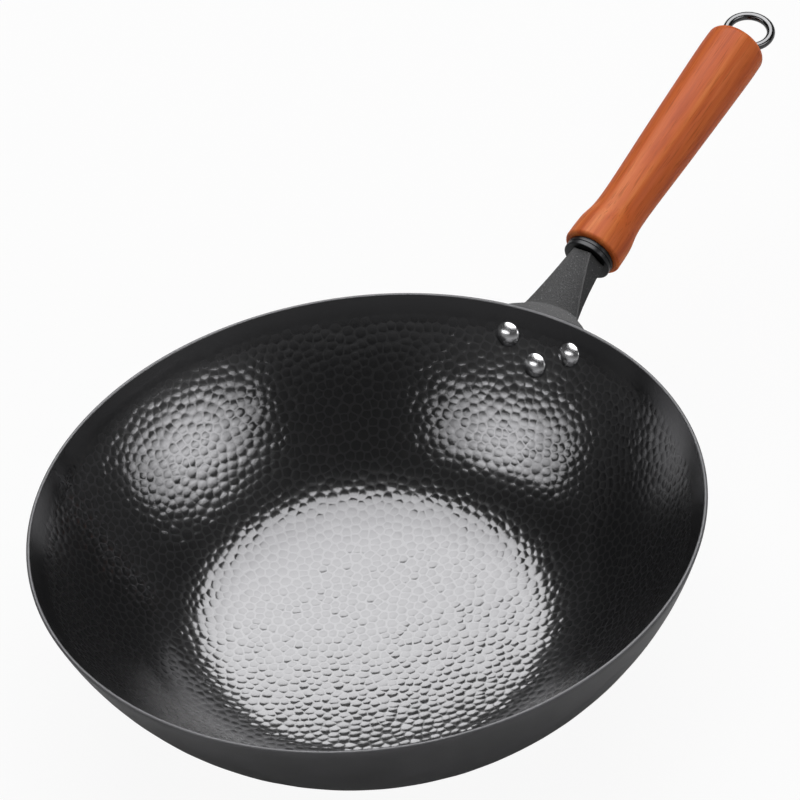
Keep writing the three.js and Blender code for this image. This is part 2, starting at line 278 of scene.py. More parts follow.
def ironFinish():
    material, shader, wire, place = newFinish(
        "seasonedIron", IOR=1.66, Coat_Roughness=0.28, Coat_IOR=1.7, Specular_Tint=(0.97, 0.965, 1, 1),
    )
    wear = wire.node("Attribute", {"attribute_name": "wear"}, output="Fac")
    cloud = wire.node("TexNoise", {}, {"Vector": place, "Scale": 45.0, "Detail": 4.0})
    fine = wire.node("TexNoise", {}, {"Vector": place, "Scale": 900.0, "Detail": 3.0})
    dark = cloud.blend(*ironLook["dark"])
    # the most worn ground, between the dents, is lighter in colour: partly wear, partly painted sheen
    tone = wear.span(*ironLook["wornAndSheenSpan"]).blend(dark, ironLook["worn"])
    dull = wear.maths("MAXIMUM", wear * -1, 0.0)
    matte = cloud.span(*ironLook["matteSpan"]).blend(*ironLook["matte"])
    drive(shader, "Base Color", dull.blend(tone, matte))
    drive(shader, "Coat Weight", wear.maths("MAXIMUM", wear, 0.0) * ironLook["coat"])
    rough = ironLook["roughness"] + cloud * ironLook["cloudy"]
    drive(shader, "Roughness", rough + fine * ironLook["grainy"] + dull * ironLook["dull"])
    bump = wire.node("Bump", {}, {"Strength": 0.12, "Distance": 0.2 * mm, "Height": fine})
    drive(shader, "Normal", bump)
    return material


castLook = {
    "tone": ((0.009, 0.009, 0.01, 1), (0.02, 0.02, 0.021, 1)),
    "glint": (0.13, 0.13, 0.135, 1),
    "glintSpan": (0.6, 0.7),
    "roughness": 0.44,
    "glintPolish": 0.1,
    "patchDull": 0.1,
}


def castFinish():
    material, shader, wire, place = newFinish("sandCasting", IOR=1.4)
    grain = wire.node("TexNoise", {}, {"Vector": place, "Scale": 900.0, "Detail": 4.0, "Roughness": 0.7})
    patch = wire.node("TexNoise", {}, {"Vector": place, "Scale": 160.0, "Detail": 3.0})
    glint = grain.span(*castLook["glintSpan"])
    tone = patch.blend(*castLook["tone"])
    drive(shader, "Base Color", glint.blend(tone, castLook["glint"]))
    rough = castLook["roughness"] - glint * castLook["glintPolish"]
    drive(shader, "Roughness", rough + patch * castLook["patchDull"])
    drive(shader, "Normal", wire.node("Bump", {}, {"Strength": 0.6, "Distance": 0.35 * mm, "Height": grain}))
    return material


metalLook = {"fineness": 12, "cloudy": 0.06, "grainy": 0.04}


def metalFinish(name, dark, light, roughness, scale):
    material, shader, wire, place = newFinish(name, Metallic=1.0)
    cloud = wire.node("TexNoise", {}, {"Vector": place, "Scale": scale, "Detail": 4.0})
    fineScale = scale * metalLook["fineness"]
    fine = wire.node("TexNoise", {}, {"Vector": place, "Scale": fineScale, "Detail": 2.0})
    drive(shader, "Base Color", cloud.blend(dark, light))
    drive(shader, "Roughness", roughness + cloud * metalLook["cloudy"] + fine * metalLook["grainy"])
    drive(shader, "Normal", wire.node("Bump", {}, {"Strength": 0.05, "Distance": 0.05 * mm, "Height": fine}))
    return material


woodLook = {
    "streaks": [(0.3, (180, 79, 37)), (0.43, (203, 97, 45)), (0.56, (214, 110, 53)), (0.7, (228, 132, 68))],
    "streakScale": (6.0, 170.0, 170.0),    # along the grip and across it
    "poreScale": (60.0, 1500.0, 1500.0),
    "pore": (120, 46, 18),
    "poreSpan": (0.56, 0.7),
    "poreShare": 0.35,
    "roughness": 0.42,
    "poreRough": 0.1,
    "coat": 0.27,
    "poreBare": 0.12,
}


def woodFinish():
    material, shader, wire, place = newFinish(
        "lacqueredWood", Coat_Roughness=0.38, Coat_IOR=1.5, Specular_IOR_Level=0.02,
    )
    turn = (0, math.radians(handle["rise"]), 0)
    level = wire.node("Mapping", {}, {"Vector": place, "Rotation": turn})
    drawn = wire.node("Mapping", {}, {"Vector": level, "Scale": woodLook["streakScale"]})
    streak = wire.node("TexNoise", {}, {
        "Vector": drawn, "Scale": 1.0, "Detail": 6.0, "Roughness": 0.62, "Distortion": 0.5,
    })
    poreMap = wire.node("Mapping", {}, {"Vector": level, "Scale": woodLook["poreScale"]})
    pores = wire.node("TexNoise", {}, {"Vector": poreMap, "Scale": 1.0, "Detail": 3.0})
    stops = [(at, paint(*colour)[:3]) for at, colour in woodLook["streaks"]]
    tone = wire.node("ValToRGB", {"stops": stops}, {0: streak})
    pore = pores.span(*woodLook["poreSpan"])
    drive(shader, "Base Color", (pore * woodLook["poreShare"]).blend(tone, paint(*woodLook["pore"])))
    drive(shader, "Roughness", woodLook["roughness"] + pore * woodLook["poreRough"])
    drive(shader, "Coat Weight", woodLook["coat"] - pore * woodLook["poreBare"])
    bump = wire.node("Bump", {}, {"Strength": 0.12, "Distance": 0.1 * mm, "Height": 1 - pore})
    drive(shader, "Normal", bump)
    return material


# Handle frame: the handle's axis leaves a point above the rim and rises outwards
handle = {"start": (160, 0, 86.4), "rise": 10.2, "collarAt": 37.1, "gripAt": 42.3, "gripLength": 143.3}


def handlePlace():
    rise = math.radians(handle["rise"])
    axis = Vector((math.cos(rise), 0, math.sin(rise)))
    up = Vector((-math.sin(rise), 0, math.cos(rise)))
    turn = Matrix((up, axis.cross(up), axis)).transposed().to_4x4()
    return Matrix.Translation(Vector(handle["start"]) * mm) @ turn


finishes = {
    "iron": ironFinish(),
    "casting": castFinish(),
    "polished": metalFinish(
        "polishedRivet", dark=(0.45, 0.45, 0.46, 1), light=(0.55, 0.55, 0.56, 1), roughness=0.19, scale=180.0,
    ),
    "blackened": metalFinish(
        "blackenedSteel", dark=(0.022, 0.022, 0.023, 1), light=(0.036, 0.036, 0.038, 1),
        roughness=0.3, scale=120.0,
    ),
    "steel": metalFinish(
        "plainSteel", dark=(0.36, 0.36, 0.37, 1), light=(0.48, 0.48, 0.49, 1), roughness=0.3, scale=200.0,
    ),
    "smoked": metalFinish(
        "smokedChrome", dark=(0.07, 0.07, 0.072, 1), light=(0.11, 0.11, 0.112, 1), roughness=0.1, scale=150.0,
    ),
    "wood": woodFinish(),
}
print("finishes mixed")


# Shared steps
mergeGap = 0.004


def startPiece():
    if bpy.context.mode != "OBJECT":
        bpy.ops.object.mode_set(mode="OBJECT")
    bpy.ops.object.select_all(action="DESELECT")


def keepPiece(piece, node, finish, body="wok"):
    piece.data.materials.clear()
    piece.data.materials.append(finishes[finish])
    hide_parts(node)
    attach(piece, body)


# A ring of points drawn out and scaled along a profile of (along, radius) pairs
def turnPiece(name, profile, segments, place, smoothAngle=35):
    startPiece()
    tiny = 0.001
    steps = [(along * mm, max(radius, tiny) * mm) for along, radius in profile]
    bpy.ops.mesh.primitive_circle_add(vertices=segments, radius=steps[0][1])
    piece = bpy.context.object
    piece.name = name
    bpy.ops.object.mode_set(mode="EDIT")
    bpy.ops.mesh.select_all(action="SELECT")
    bpy.ops.transform.translate(value=(0, 0, steps[0][0]))
    for (along, radius), (nextAlong, nextRadius) in zip(steps, steps[1:]):
        bpy.ops.mesh.extrude_region_move(TRANSFORM_OT_translate={"value": (0, 0, nextAlong - along)})
        share = nextRadius / radius
        bpy.ops.transform.resize(value=(share, share, 1))
    bpy.ops.mesh.select_all(action="SELECT")
    bpy.ops.mesh.remove_doubles(threshold=mergeGap * mm)
    bpy.ops.mesh.normals_make_consistent(inside=False)
    bpy.ops.object.mode_set(mode="OBJECT")
    piece.matrix_world = place
    bpy.ops.object.transform_apply(location=True, rotation=True, scale=True)
    bpy.ops.object.shade_smooth_by_angle(angle=math.radians(smoothAngle))
    return piece


def arc(centreAlong, centreRadius, radius, start, end, steps):
    points = []
    for step in range(steps + 1):
        angle = math.radians(start + (end - start) * step / steps)
        points.append((centreAlong + radius * math.sin(angle), centreRadius + radius * math.cos(angle)))
    return points


def ease(share):
    share = min(max(share, 0.0), 1.0)
    return share * share * (3 - 2 * share)


# Bowl: the inside is hammered cell by cell, the outside is plain with faint waves
bowl = {
    "rimRadius": 160.0,
    "height": 88.0,
    "thickness": 2.0,
    "baseRadius": 73.5,
    "fillet": 34.0,
    "wallRadius": 286.0,
    "outsideRadius": 151.0,    # the outside is fuller, except where the bracket lies on it
    "bracketWall": {"angle": (11.0, 34.0), "depth": (32.0, 58.0)},
    "dishRadius": 600.0,    # the inside of the base is slightly dished
    "dishEdge": 70.0,
    "wallFrom": 113.0,
    "pitchAlong": 4.4,
    "pitchAround": 4.8,
    "scatter": 2.6,
    "evenings": 2,          # times that the scattered dents are set more evenly apart
    "dentShare": 0.81,      # how much of its cell a dent takes up
    "dent": 0.15,
    "dentSpread": 0.3,
    "dentWearAndSheen": (0.68, 0.72),    # wear and painted sheen of a dent next to that of the ground, on the base and the wall
    "dentShift": 0.36,       # how far the lowest point of a dent may be off its middle
    "wallDent": 0.5,        # how deep the dents of the wall are next to those of the base
    "smoothBand": (7.0, 16.0),
    "rimDull": 0.1,          # how much duller the smooth band is, next to the lip
    "rimSegments": 192,
    "profileSteps": (700, 400),
    "rimMargin": (2.0, 2.2),    # kept free at the rim when the rings are counted and when they are spaced
    "calmRings": 3,          # the last rings of dents, which are scattered less
    "calmScatter": 0.3,
    "cornerGap": 0.3,        # corners of cells nearer than this become one
    "loopGap": 0.02,         # corners this near to the edge of the flat map are on the rim loop
    "roundLimit": 1.06,
    "leastDent": 0.004,
    "dentLean": 0.9,         # how far a dent's edge leans into the dent, and the ground next to it
    "groundLean": 0.4,
    "steepAt": 45,
    "lipSteps": 6,
    "wallSteps": 36,
    "filletSteps": 10,
    "underShares": (0.85, 0.6, 0.35, 0.12),
    "lipWear": -1.0,         # below 0 is matte
    "outsideWear": -0.7,
    "outerWave": 0.14,
    "waveScale": 0.09,
    "waveStart": (10, 25),   # below the rim: where the waves begin, and how much further they are full
    "waveFoot": 4,
    "seed": 11,
}


def wallShape(wallRadius=bowl["wallRadius"]):
    # centre of the long wall arc, and the slopes where it starts and ends
    foot = Vector((bowl["baseRadius"], bowl["fillet"]))
    half = bowl["thickness"] / 2
    lip = Vector((bowl["rimRadius"] - half, bowl["height"] - half))
    gap = wallRadius - bowl["fillet"]
    reach = wallRadius - half
    toLip = lip - foot
    turn = math.acos((gap ** 2 + toLip.length_squared - reach ** 2) / (2 * gap * toLip.length))
    towards = math.atan2(toLip.y, toLip.x) + turn
    centre = foot + gap * Vector((math.cos(towards), math.sin(towards)))
    rimSlope = math.pi / 2 + math.atan2(lip.y - centre.y, lip.x - centre.x)
    return centre, towards - math.pi / 2, rimSlope, lip


def insideProfile():
    # arc length, radius, height and slope down the inside, from the middle to the lip
    centre, _, rimSlope, _ = wallShape()
    reach = bowl["wallRadius"] - bowl["thickness"]
    wallFrom = bowl["wallFrom"]
    wallSlope = math.asin((wallFrom - centre.x) / reach)
    edge = bowl["dishEdge"]
    lowSteps, wallSteps = bowl["profileSteps"]
    lowRadius = np.linspace(0, wallFrom, lowSteps)
    slope = np.interp(lowRadius, [0, edge, wallFrom], [0, edge / bowl["dishRadius"], wallSlope])
    rise = np.tan(slope)
    height = np.concatenate(([0], np.cumsum((rise[1:] + rise[:-1]) / 2 * np.diff(lowRadius))))
    height += centre.y - reach * math.cos(wallSlope) - height[-1]
    print("inside of the base, lowest point:", round(height[0], 2))
    upSlope = np.linspace(wallSlope, rimSlope, wallSteps)[1:]
    radius = np.concatenate((lowRadius, centre.x + reach * np.sin(upSlope)))
    height = np.concatenate((height, centre.y - reach * np.cos(upSlope)))
    slope = np.concatenate((slope, upSlope))
    length = np.concatenate(([0], np.cumsum(np.hypot(np.diff(radius), np.diff(height)))))
    return length, radius, height, slope


def evenMap(length, radius):
    # plane radius that keeps the shape of small cells when the inside is laid flat
    first = 20
    grown = np.cumsum(2 * np.diff(length[first:]) / (radius[first + 1:] + radius[first:-1]))
    later = radius[first] * np.exp(grown)
    return np.concatenate((radius[:first + 1], later))


def hammerSeeds(length, radius, plane):
    chance = random.Random(bowl["seed"])
    total = length[-1]
    seeds = []
    countMargin, stepMargin = bowl["rimMargin"]
    rings = int((total - countMargin) / bowl["pitchAlong"])
    step = (total - stepMargin - bowl["pitchAlong"] / 2) / (rings - 1)
    for ring in range(rings):
        middle = bowl["pitchAlong"] / 2 + ring * step
        last = ring == rings - 1
        around = 2 * math.pi * np.interp(middle, length, radius)
        count = bowl["rimSegments"] if last else max(3, round(around / bowl["pitchAround"]))
        calm = ring >= rings - bowl["calmRings"]
        loose = 0 if last else bowl["scatter"] * (bowl["calmScatter"] if calm else 1)
        start = 0 if last else chance.random() * 2 * math.pi
        for index in range(count):
            spot = middle + chance.uniform(-loose, loose)
            angle = start + 2 * math.pi * (index + chance.uniform(-loose, loose) * count / around) / count
            flat = np.interp(spot, length, plane)
            seeds.append(Vector((flat * math.cos(angle), flat * math.sin(angle))))
    real = len(seeds)
    half = math.pi / bowl["rimSegments"]
    lastPlane = seeds[-1].length
    ghost = 2 * plane[-1] * math.cos(half) - lastPlane
    for index in range(bowl["rimSegments"]):
        angle = 2 * half * index
        seeds.append(Vector((ghost * math.cos(angle), ghost * math.sin(angle))))
    return seeds, real


def circleCentre(a, b, c):
    ab, ac = b - a, c - a
    twice = 2 * (ab.x * ac.y - ab.y * ac.x)
    first, second = ab.length_squared, ac.length_squared
    return a + Vector((ac.y * first - ab.y * second, ab.x * second - ac.x * first)) / twice


def hammerCells(seeds, real):
    # corner points and, for each seed, its corners in order
    points, _, faces, origins, _, _ = delaunay_2d_cdt(seeds, [], [], 0, 1e-7)
    owner = [group[0] for group in origins]
    corners = []
    around = {index: [] for index in range(real)}
    for face in faces:
        corner = circleCentre(*(points[index] for index in face))
        name = len(corners)
        corners.append(corner)
        for index in face:
            if owner[index] < real:
                around[owner[index]].append(name)
    same = list(range(len(corners)))
    for pair in edgesBetween(faces):
        first, second = (leader(same, name) for name in pair)
        size = max(corners[first].length, 1)
        gap = bowl["cornerGap"] * max(1, size / bowl["rimRadius"])
        if (corners[first] - corners[second]).length < gap:
            same[max(first, second)] = min(first, second)
    cells = []
    for index in range(real):
        seed = seeds[index]
        ring = sorted(around[index], key=lambda name: math.atan2(*(corners[name] - seed).yx))
        ring = [leader(same, name) for name in ring]
        cells.append([name for spot, name in enumerate(ring) if name != ring[spot - 1]])
    return corners, cells


def edgesBetween(faces):
    # pairs of faces that share an edge
    owners = {}
    for name, face in enumerate(faces):
        for first, second in zip(face, face[1:] + face[:1]):
            owners.setdefault((min(first, second), max(first, second)), []).append(name)
    return [pair for pair in owners.values() if len(pair) == 2]


def leader(same, name):
    while same[name] != name:
        name = same[name]
    return name


def outsideRings(wallRadius):
    # radius, height, lean and wear of each ring, from the lip to the middle of the underside
    centre, filletSlope, outerSlope, lip = wallShape(wallRadius)
    innerSlope = wallShape()[2]
    half = bowl["thickness"] / 2
    rings = []
    lipSteps, wallSteps, filletSteps = bowl["lipSteps"], bowl["wallSteps"], bowl["filletSteps"]
    matte = bowl["outsideWear"]
    for step in range(1, lipSteps + 1):
        angle = innerSlope + math.pi / 2 - (math.pi + innerSlope - outerSlope) * step / lipSteps
        rings.append((lip.x + half * math.cos(angle), lip.y + half * math.sin(angle), 0, bowl["lipWear"]))
    for step in range(1, wallSteps + 1):
        lean = outerSlope + (filletSlope - outerSlope) * step / wallSteps
        spot = (centre.x + wallRadius * math.sin(lean), centre.y - wallRadius * math.cos(lean))
        rings.append((*spot, lean, matte))
    for step in range(1, filletSteps + 1):
        lean = filletSlope * (1 - step / filletSteps)
        spot = (bowl["baseRadius"] + bowl["fillet"] * math.sin(lean), bowl["fillet"] * (1 - math.cos(lean)))
        rings.append((*spot, lean, matte))
    for share in bowl["underShares"]:
        rings.append((bowl["baseRadius"] * share, 0.0, 0, matte))
    return rings


def nearBracket(angle, depth):
    # 1 where the bracket lies on the wall, falling to 0 round it and below it
    share = 1.0
    for value, limits in ((abs(math.degrees(angle)), "angle"), (depth, "depth")):
        low, high = bowl["bracketWall"][limits]
        share *= 1 - ease((value - low) / (high - low))
    return share


def makeBowl():
    length, radius, height, slope = insideProfile()
    plane = evenMap(length, radius)
    seeds, real = hammerSeeds(length, radius, plane)
    corners, cells = hammerCells(seeds, real)
    for _ in range(bowl["evenings"]):
        for index, cell in enumerate(cells[:real - bowl["rimSegments"]]):
            seeds[index] = sum((corners[name] for name in cell), Vector((0, 0))) / len(cell)
        corners, cells = hammerCells(seeds, real)
    chance = random.Random(bowl["seed"] + 1)
    points, faces = [], []
    facing, worn = [], []      # for each point: the way the smooth ground faces there, and its wear, whose lighter colour is partly a painted sheen
    dentWearAndSheen = []              # for each face: its share of that wear and painted sheen, or none outside a dent

    def addPoint(flat, depth, wear):
        # a point of the flat map, put on the inside and sunk into it by depth
        out = flat.length
        run = np.interp(out, plane, length)
        ring, level, lean = (np.interp(run, length, part) for part in (radius, height, slope))
        way = flat / out if out > 1e-9 else Vector((1, 0))
        facing.append(Vector((-math.sin(lean) * way.x, -math.sin(lean) * way.y, math.cos(lean))))
        points.append(Vector((ring * way.x, ring * way.y, level)) - facing[-1] * depth)
        worn.append(wear)
        return len(points) - 1

    def addFaces(made, share=None):
        faces.extend(made)
        dentWearAndSheen.extend([share] * len(made))

    def fade(flat):
        low, high = bowl["smoothBand"]
        return ease((length[-1] - np.interp(flat.length, plane, length) - low) / (high - low))

    used = {}

    def corner(name):
        if name not in used:
            share = fade(corners[name])
            used[name] = addPoint(corners[name], 0.0, share - bowl["rimDull"] * (1 - share))
        return used[name]

    dentFacing = {}
    for cell in cells:
        if len(cell) < 3:
            continue
        ring = [corner(name) for name in cell]
        spots = [corners[name] for name in cell]
        count = len(cell)
        middle = sum(spots, Vector((0, 0))) / count
        strength = fade(middle)
        steep = min(1.0, np.interp(middle.length, plane, slope) / math.radians(bowl["steepAt"]))
        shallow = 1 + (bowl["wallDent"] - 1) * steep
        # a dent keeps less of the ground's wear and painted sheen
        share = bowl["dentWearAndSheen"][0] + (bowl["dentWearAndSheen"][1] - bowl["dentWearAndSheen"][0]) * steep
        depth = bowl["dent"] * shallow * (1 + chance.uniform(-1, 1) * bowl["dentSpread"]) * strength
        if depth < bowl["leastDent"]:
            addFaces([ring])
            continue
        # the dent's edge is rounder than its cell, with a point for each corner and each side
        sides = [(spots[index] + spots[(index + 1) % count]) / 2 for index in range(count)]
        ways = [spot - middle for pair in zip(spots, sides) for spot in pair]
        mean = sum(way.length for way in ways) / len(ways)
        edge = []
        for way in ways:
            reach = bowl["dentShare"] * min((way.length + mean) / 2, way.length * bowl["roundLimit"])
            edge.append(addPoint(middle + way.normalized() * reach, 0.0, strength))
        angle = chance.uniform(0, 2 * math.pi)
        shift = Vector((math.cos(angle), math.sin(angle))) * mean * bowl["dentShift"] * chance.random()
        bottom = addPoint(middle + shift, depth, strength)
        size = sum((points[spot] - points[bottom]).length for spot in edge) / len(edge)
        for index in range(count):
            here, between, after = edge[2 * index], edge[2 * index + 1], edge[(2 * index + 2) % len(edge)]
            first, second = ring[index], ring[(index + 1) % count]
            addFaces([[first, second, between], [first, between, here], [second, after, between]])
            addFaces([[here, between, bottom], [between, after, bottom]], share)
        for spot in edge:
            inwards = points[bottom] - points[spot]
            inwards -= facing[spot] * inwards.dot(facing[spot])
            fall = 2 * depth * inwards.length / size ** 2
            inwards.normalize()
            dentFacing[spot] = (facing[spot] + inwards * fall * bowl["dentLean"]).normalized()
            facing[spot] = (facing[spot] + inwards * fall * bowl["groundLean"]).normalized()
    print("hammered cells:", len(cells))

    # lip, outside and underside on the rim's own segments
    solidRings = outsideRings(bowl["wallRadius"])
    fullRings = outsideRings(bowl["outsideRadius"])
    edgeLoop = sorted(
        (name for name in used if abs(corners[name].length - plane[-1]) < bowl["loopGap"]),
        key=lambda name: math.atan2(corners[name].y, corners[name].x),
    )
    loop = [used[name] for name in edgeLoop]
    angles = [math.atan2(corners[name].y, corners[name].x) for name in edgeLoop]
    print("rim loop:", len(loop))
    for solid, full in zip(solidRings, fullRings):
        fresh = []
        lean, wear = full[2:]
        for angle in angles:
            share = 1 - nearBracket(angle, bowl["height"] - full[1])
            ringRadius, level = (at + (to - at) * share for at, to in zip(solid[:2], full[:2]))
            spot = Vector((ringRadius * math.cos(angle), ringRadius * math.sin(angle), level))
            wave = 0.0
            if lean:
                begin, grow = bowl["waveStart"]
                calm = min(1.0, max(0.0, (bowl["height"] - level - begin) / grow))
                calm = calm * min(1.0, level / bowl["waveFoot"])
                wave = noise.noise(spot * bowl["waveScale"]) * bowl["outerWave"] * calm
            ringOut = ringRadius + wave * math.sin(lean)
            ringLevel = level - wave * math.cos(lean)
            points.append(Vector((ringOut * math.cos(angle), ringOut * math.sin(angle), ringLevel)))
            facing.append(None)
            worn.append(wear)
            fresh.append(len(points) - 1)
        for index in range(len(loop)):
            after = (index + 1) % len(loop)
            addFaces([[loop[index], fresh[index], fresh[after], loop[after]]])
        loop = fresh
    points.append(Vector((0, 0, 0)))
    facing.append(None)
    worn.append(bowl["outsideWear"])
    for index in range(len(loop)):
        addFaces([[loop[(index + 1) % len(loop)], loop[index], len(points) - 1]])

    mesh = bpy.data.meshes.new("hammeredBowl")
    mesh.from_pydata([point * mm for point in points], [], faces)
    piece = bpy.data.objects.new("hammeredBowl", mesh)
    scene.collection.objects.link(piece)
    startPiece()
    piece.select_set(True)
    bpy.context.view_layer.objects.active = piece
    bpy.ops.object.shade_smooth()
    # ground and dents meet in a crisp edge, and the dents are less worn than the ground, whose lighter colour
    # is partly wear, partly a painted sheen
    turned, wear = [], []
    for face, share in zip(mesh.polygons, dentWearAndSheen):
        for index in face.vertices:
            way = facing[index] if share is None else dentFacing.get(index, facing[index])
            turned.append(way or mesh.vertices[index].normal.copy())
            wear.append(worn[index] * (1 if share is None else share))
    mesh.attributes.new("wear", "FLOAT", "CORNER").data.foreach_set("value", wear)
    mesh.normals_split_custom_set(turned)
    keepPiece(piece, "wok_bowl", "iron")
    print("bowl triangles:", sum(len(face.vertices) - 2 for face in mesh.polygons))


makeBowl()


# Bracket and tie rod: the solid's own shape with the soft edges of a casting or a forging
softened = {
    "handleBracket": {"node": "handle_bracket", "finish": "casting", "voxel": 0.3, "passes": 4, "keep": 0.4},
    "tieRod": {"node": "tie_rod", "finish": "steel", "voxel": 0.25, "passes": 6, "keep": 0.4},
}
softening = {"mergeGap": 0.002, "factor": 0.5}


# Top of the bracket: the boss is level, and the neck rises from its round edge to the collar
neckTop = {
    "bossTop": 87.2,
    "bossEdge": 166.9,
    "bossCurve": 32.0,
    "bossHalf": 14.7,
    "endHalf": 4.65,
    "end": (194.68, 101.48),
    "levelHalf": 5.4,
    "levelTo": 189.0,
    "rounds": 4,
}


def levelNeck(piece):
    # presses what stands out of the top of the neck, along its middle, down to that top
    endAt, endHeight = neckTop["end"]
    bossHalf, endHalf = neckTop["bossHalf"], neckTop["endHalf"]
    for vertex in piece.data.vertices:
        x, y, z = vertex.co / mm
        if abs(y) > neckTop["levelHalf"] or x > neckTop["levelTo"]:
            continue
        share, edge = 0.0, neckTop["bossEdge"]
        for _ in range(neckTop["rounds"]):
            wide = y * bossHalf / (bossHalf + (endHalf - bossHalf) * share)
            edge = neckTop["bossEdge"] - wide ** 2 / (2 * neckTop["bossCurve"])
            share = min(max((x - edge) / (endAt - edge), 0.0), 1.0)
        top = neckTop["bossTop"] + (endHeight - neckTop["bossTop"]) * share
        vertex.co.z = min(z, top) * mm


def softenPiece(name):
    shape = softened[name]
    piece = bpy.data.objects.new(name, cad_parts[shape["node"]].data.copy())
    scene.collection.objects.link(piece)
    startPiece()
    piece.select_set(True)
    bpy.context.view_layer.objects.active = piece
    bpy.ops.object.mode_set(mode="EDIT")
    bpy.ops.mesh.select_all(action="SELECT")
    bpy.ops.mesh.remove_doubles(threshold=softening["mergeGap"] * mm)
    bpy.ops.object.mode_set(mode="OBJECT")
    remesh = piece.modifiers.new("remesh", "REMESH")
    remesh.mode = "VOXEL"
    remesh.voxel_size = shape["voxel"] * mm
    bpy.ops.object.modifier_apply(modifier="remesh")
    if name == "handleBracket":
        levelNeck(piece)
    smooth = piece.modifiers.new("smooth", "SMOOTH")
    smooth.factor = softening["factor"]
    smooth.iterations = shape["passes"]
    thin = piece.modifiers.new("thin", "DECIMATE")
    thin.ratio = shape["keep"]
    for step in ("smooth", "thin"):
        bpy.ops.object.modifier_apply(modifier=step)
    bpy.ops.object.shade_smooth()
    keepPiece(piece, shape["node"], shape["finish"])
    print(name, "faces:", len(piece.data.polygons))


for name in softened:
    softenPiece(name)


# Rivets: local Z leaves the bowl, 0 on the outside of the wall
rivet = {
    "places": {"rivet_upper_left": (13.6, 1), "rivet_upper_right": (13.6, -1), "rivet_lower": (24.7, 0)},
    "halfSpacing": 17.6,
    "headRadius": 6.0,
    "headHeight": 3.2,
    "headEdge": 0.6,
    "shankRadius": 2.6,
    "tailRadius": 4.4,
    "tailHeight": 1.8,
    "tailFace": 3.3,
    "headInset": 0.2,    # the dome starts inside the head's edge, with a soft step between
    "headSink": 0.5,
    "headStep": 0.3,
    "seat": 0.1,
    "headSteps": 10,
    "tailSteps": 8,
    "segments": 48,
}


def domePoints(radius, height, steps):
    ball = (radius ** 2 + height ** 2) / (2 * height)
    spread = math.asin(radius / ball)
    return [
        (ball * math.cos(spread * step / steps) - ball + height, ball * math.sin(spread * step / steps))
        for step in range(steps + 1)
    ]


def makeRivets():
    centre, _, rimSlope, _ = wallShape()
    face = -bowl["thickness"]
    edge = rivet["headEdge"]
    seat = face + rivet["seat"]
    dome = rivet["headHeight"] - edge - rivet["headSink"]
    head = domePoints(rivet["headRadius"] - rivet["headInset"], dome, rivet["headSteps"])
    profile = [(face - edge - rivet["headStep"] - out, radius) for out, radius in head]
    profile += [(face - edge, rivet["headRadius"]), (seat, rivet["headRadius"])]
    profile += [(seat, rivet["shankRadius"]), (rivet["tailFace"], rivet["shankRadius"])]
    tail = domePoints(rivet["tailRadius"], rivet["tailHeight"], rivet["tailSteps"])
    profile += [(rivet["tailFace"] + out, radius) for out, radius in reversed(tail)]
    for name, (depth, side) in rivet["places"].items():
        reach = bowl["wallRadius"]
        lean = rimSlope - depth / reach
        foot = (centre.x + reach * math.sin(lean), centre.y - reach * math.cos(lean))
        swing = Matrix.Rotation(side * rivet["halfSpacing"] / foot[0], 4, "Z")
        move = Matrix.Translation((foot[0] * mm, 0, foot[1] * mm))
        turn = Matrix.Rotation(math.pi - lean, 4, "Y")
        title = "".join(part.title() for part in name.split("_"))
        piece = turnPiece(title, profile, rivet["segments"], swing @ move @ turn)
        keepPiece(piece, name, "polished")


makeRivets()
print("rivets set")


# Collar: a short turned sleeve with a groove, on the tang
collar = {
    "radius": 12.2,
    "length": 4.9,
    "edge": 0.5,
    "groove": [(0.3, 0.0), (0.2, 0.08), (0.12, 0.35)],    # half width and depth, from the surface down
    "bore": 5.3,
    "boreFace": 1,
    "spigot": 8.6,
    "spigotLength": 6.0,
    "edgeSteps": 5,
    "segments": 96,
}


def makeCollar():
    start, radius, edge = handle["collarAt"], collar["radius"], collar["edge"]
    back = start + collar["length"]
    middle = start + collar["length"] / 2
    profile = [(start, collar["bore"]), (start, collar["bore"] + collar["boreFace"])]
    profile += arc(start + edge, radius - edge, edge, -90, 0, collar["edgeSteps"])
    profile += [(middle - half, radius - depth) for half, depth in collar["groove"]]
    profile += [(middle + half, radius - depth) for half, depth in reversed(collar["groove"])]
    profile += arc(back - edge, radius - edge, edge, 0, 90, collar["edgeSteps"])
    profile += [(back, collar["spigot"]), (back + collar["spigotLength"], collar["spigot"])]
    profile += [(back + collar["spigotLength"], collar["bore"]), (start, collar["bore"])]
    piece = turnPiece("ferruleCollar", profile, collar["segments"], handlePlace())
    keepPiece(piece, "ferrule_collar", "blackened")


makeCollar()
print("collar turned")


# Grip: turned wood with a bulb at the front, a waist and a swelling towards the butt
grip = {
    "frontRadius": 14.8,
    "frontRound": 1.6,
    "swell": [(12.7, 14.4), (29.7, 12.4), (77.0, 13.75), (125.0, 15.0)],
    "buttRound": 4.2,
    "socket": (8.9, 6.3),
    "counterbore": (9.6, 8.3),
    "boreEdge": 0.4,
    "bore": 3.0,
    "frontSteps": 8,
    "swellSteps": 11,
    "buttSteps": 12,
    "segments": 128,
}


def smoothLine(knots, steps):
    # a curve through all the knots, with each knot's direction set by its neighbours
    points = []
    for index in range(len(knots) - 1):
        first, second = Vector(knots[index]), Vector(knots[index + 1])
        before = Vector(knots[max(index - 1, 0)])
        after = Vector(knots[min(index + 2, len(knots) - 1)])
        leave, arrive = (second - before) / 2, (after - first) / 2
        for step in range(steps):
            t = step / steps
            cubic = (2 * first - 2 * second + leave + arrive) * t ** 3
            square = (3 * second - 3 * first - 2 * leave - arrive) * t ** 2
            points.append(tuple(cubic + square + leave * t + first))
    return points + [tuple(knots[-1])]


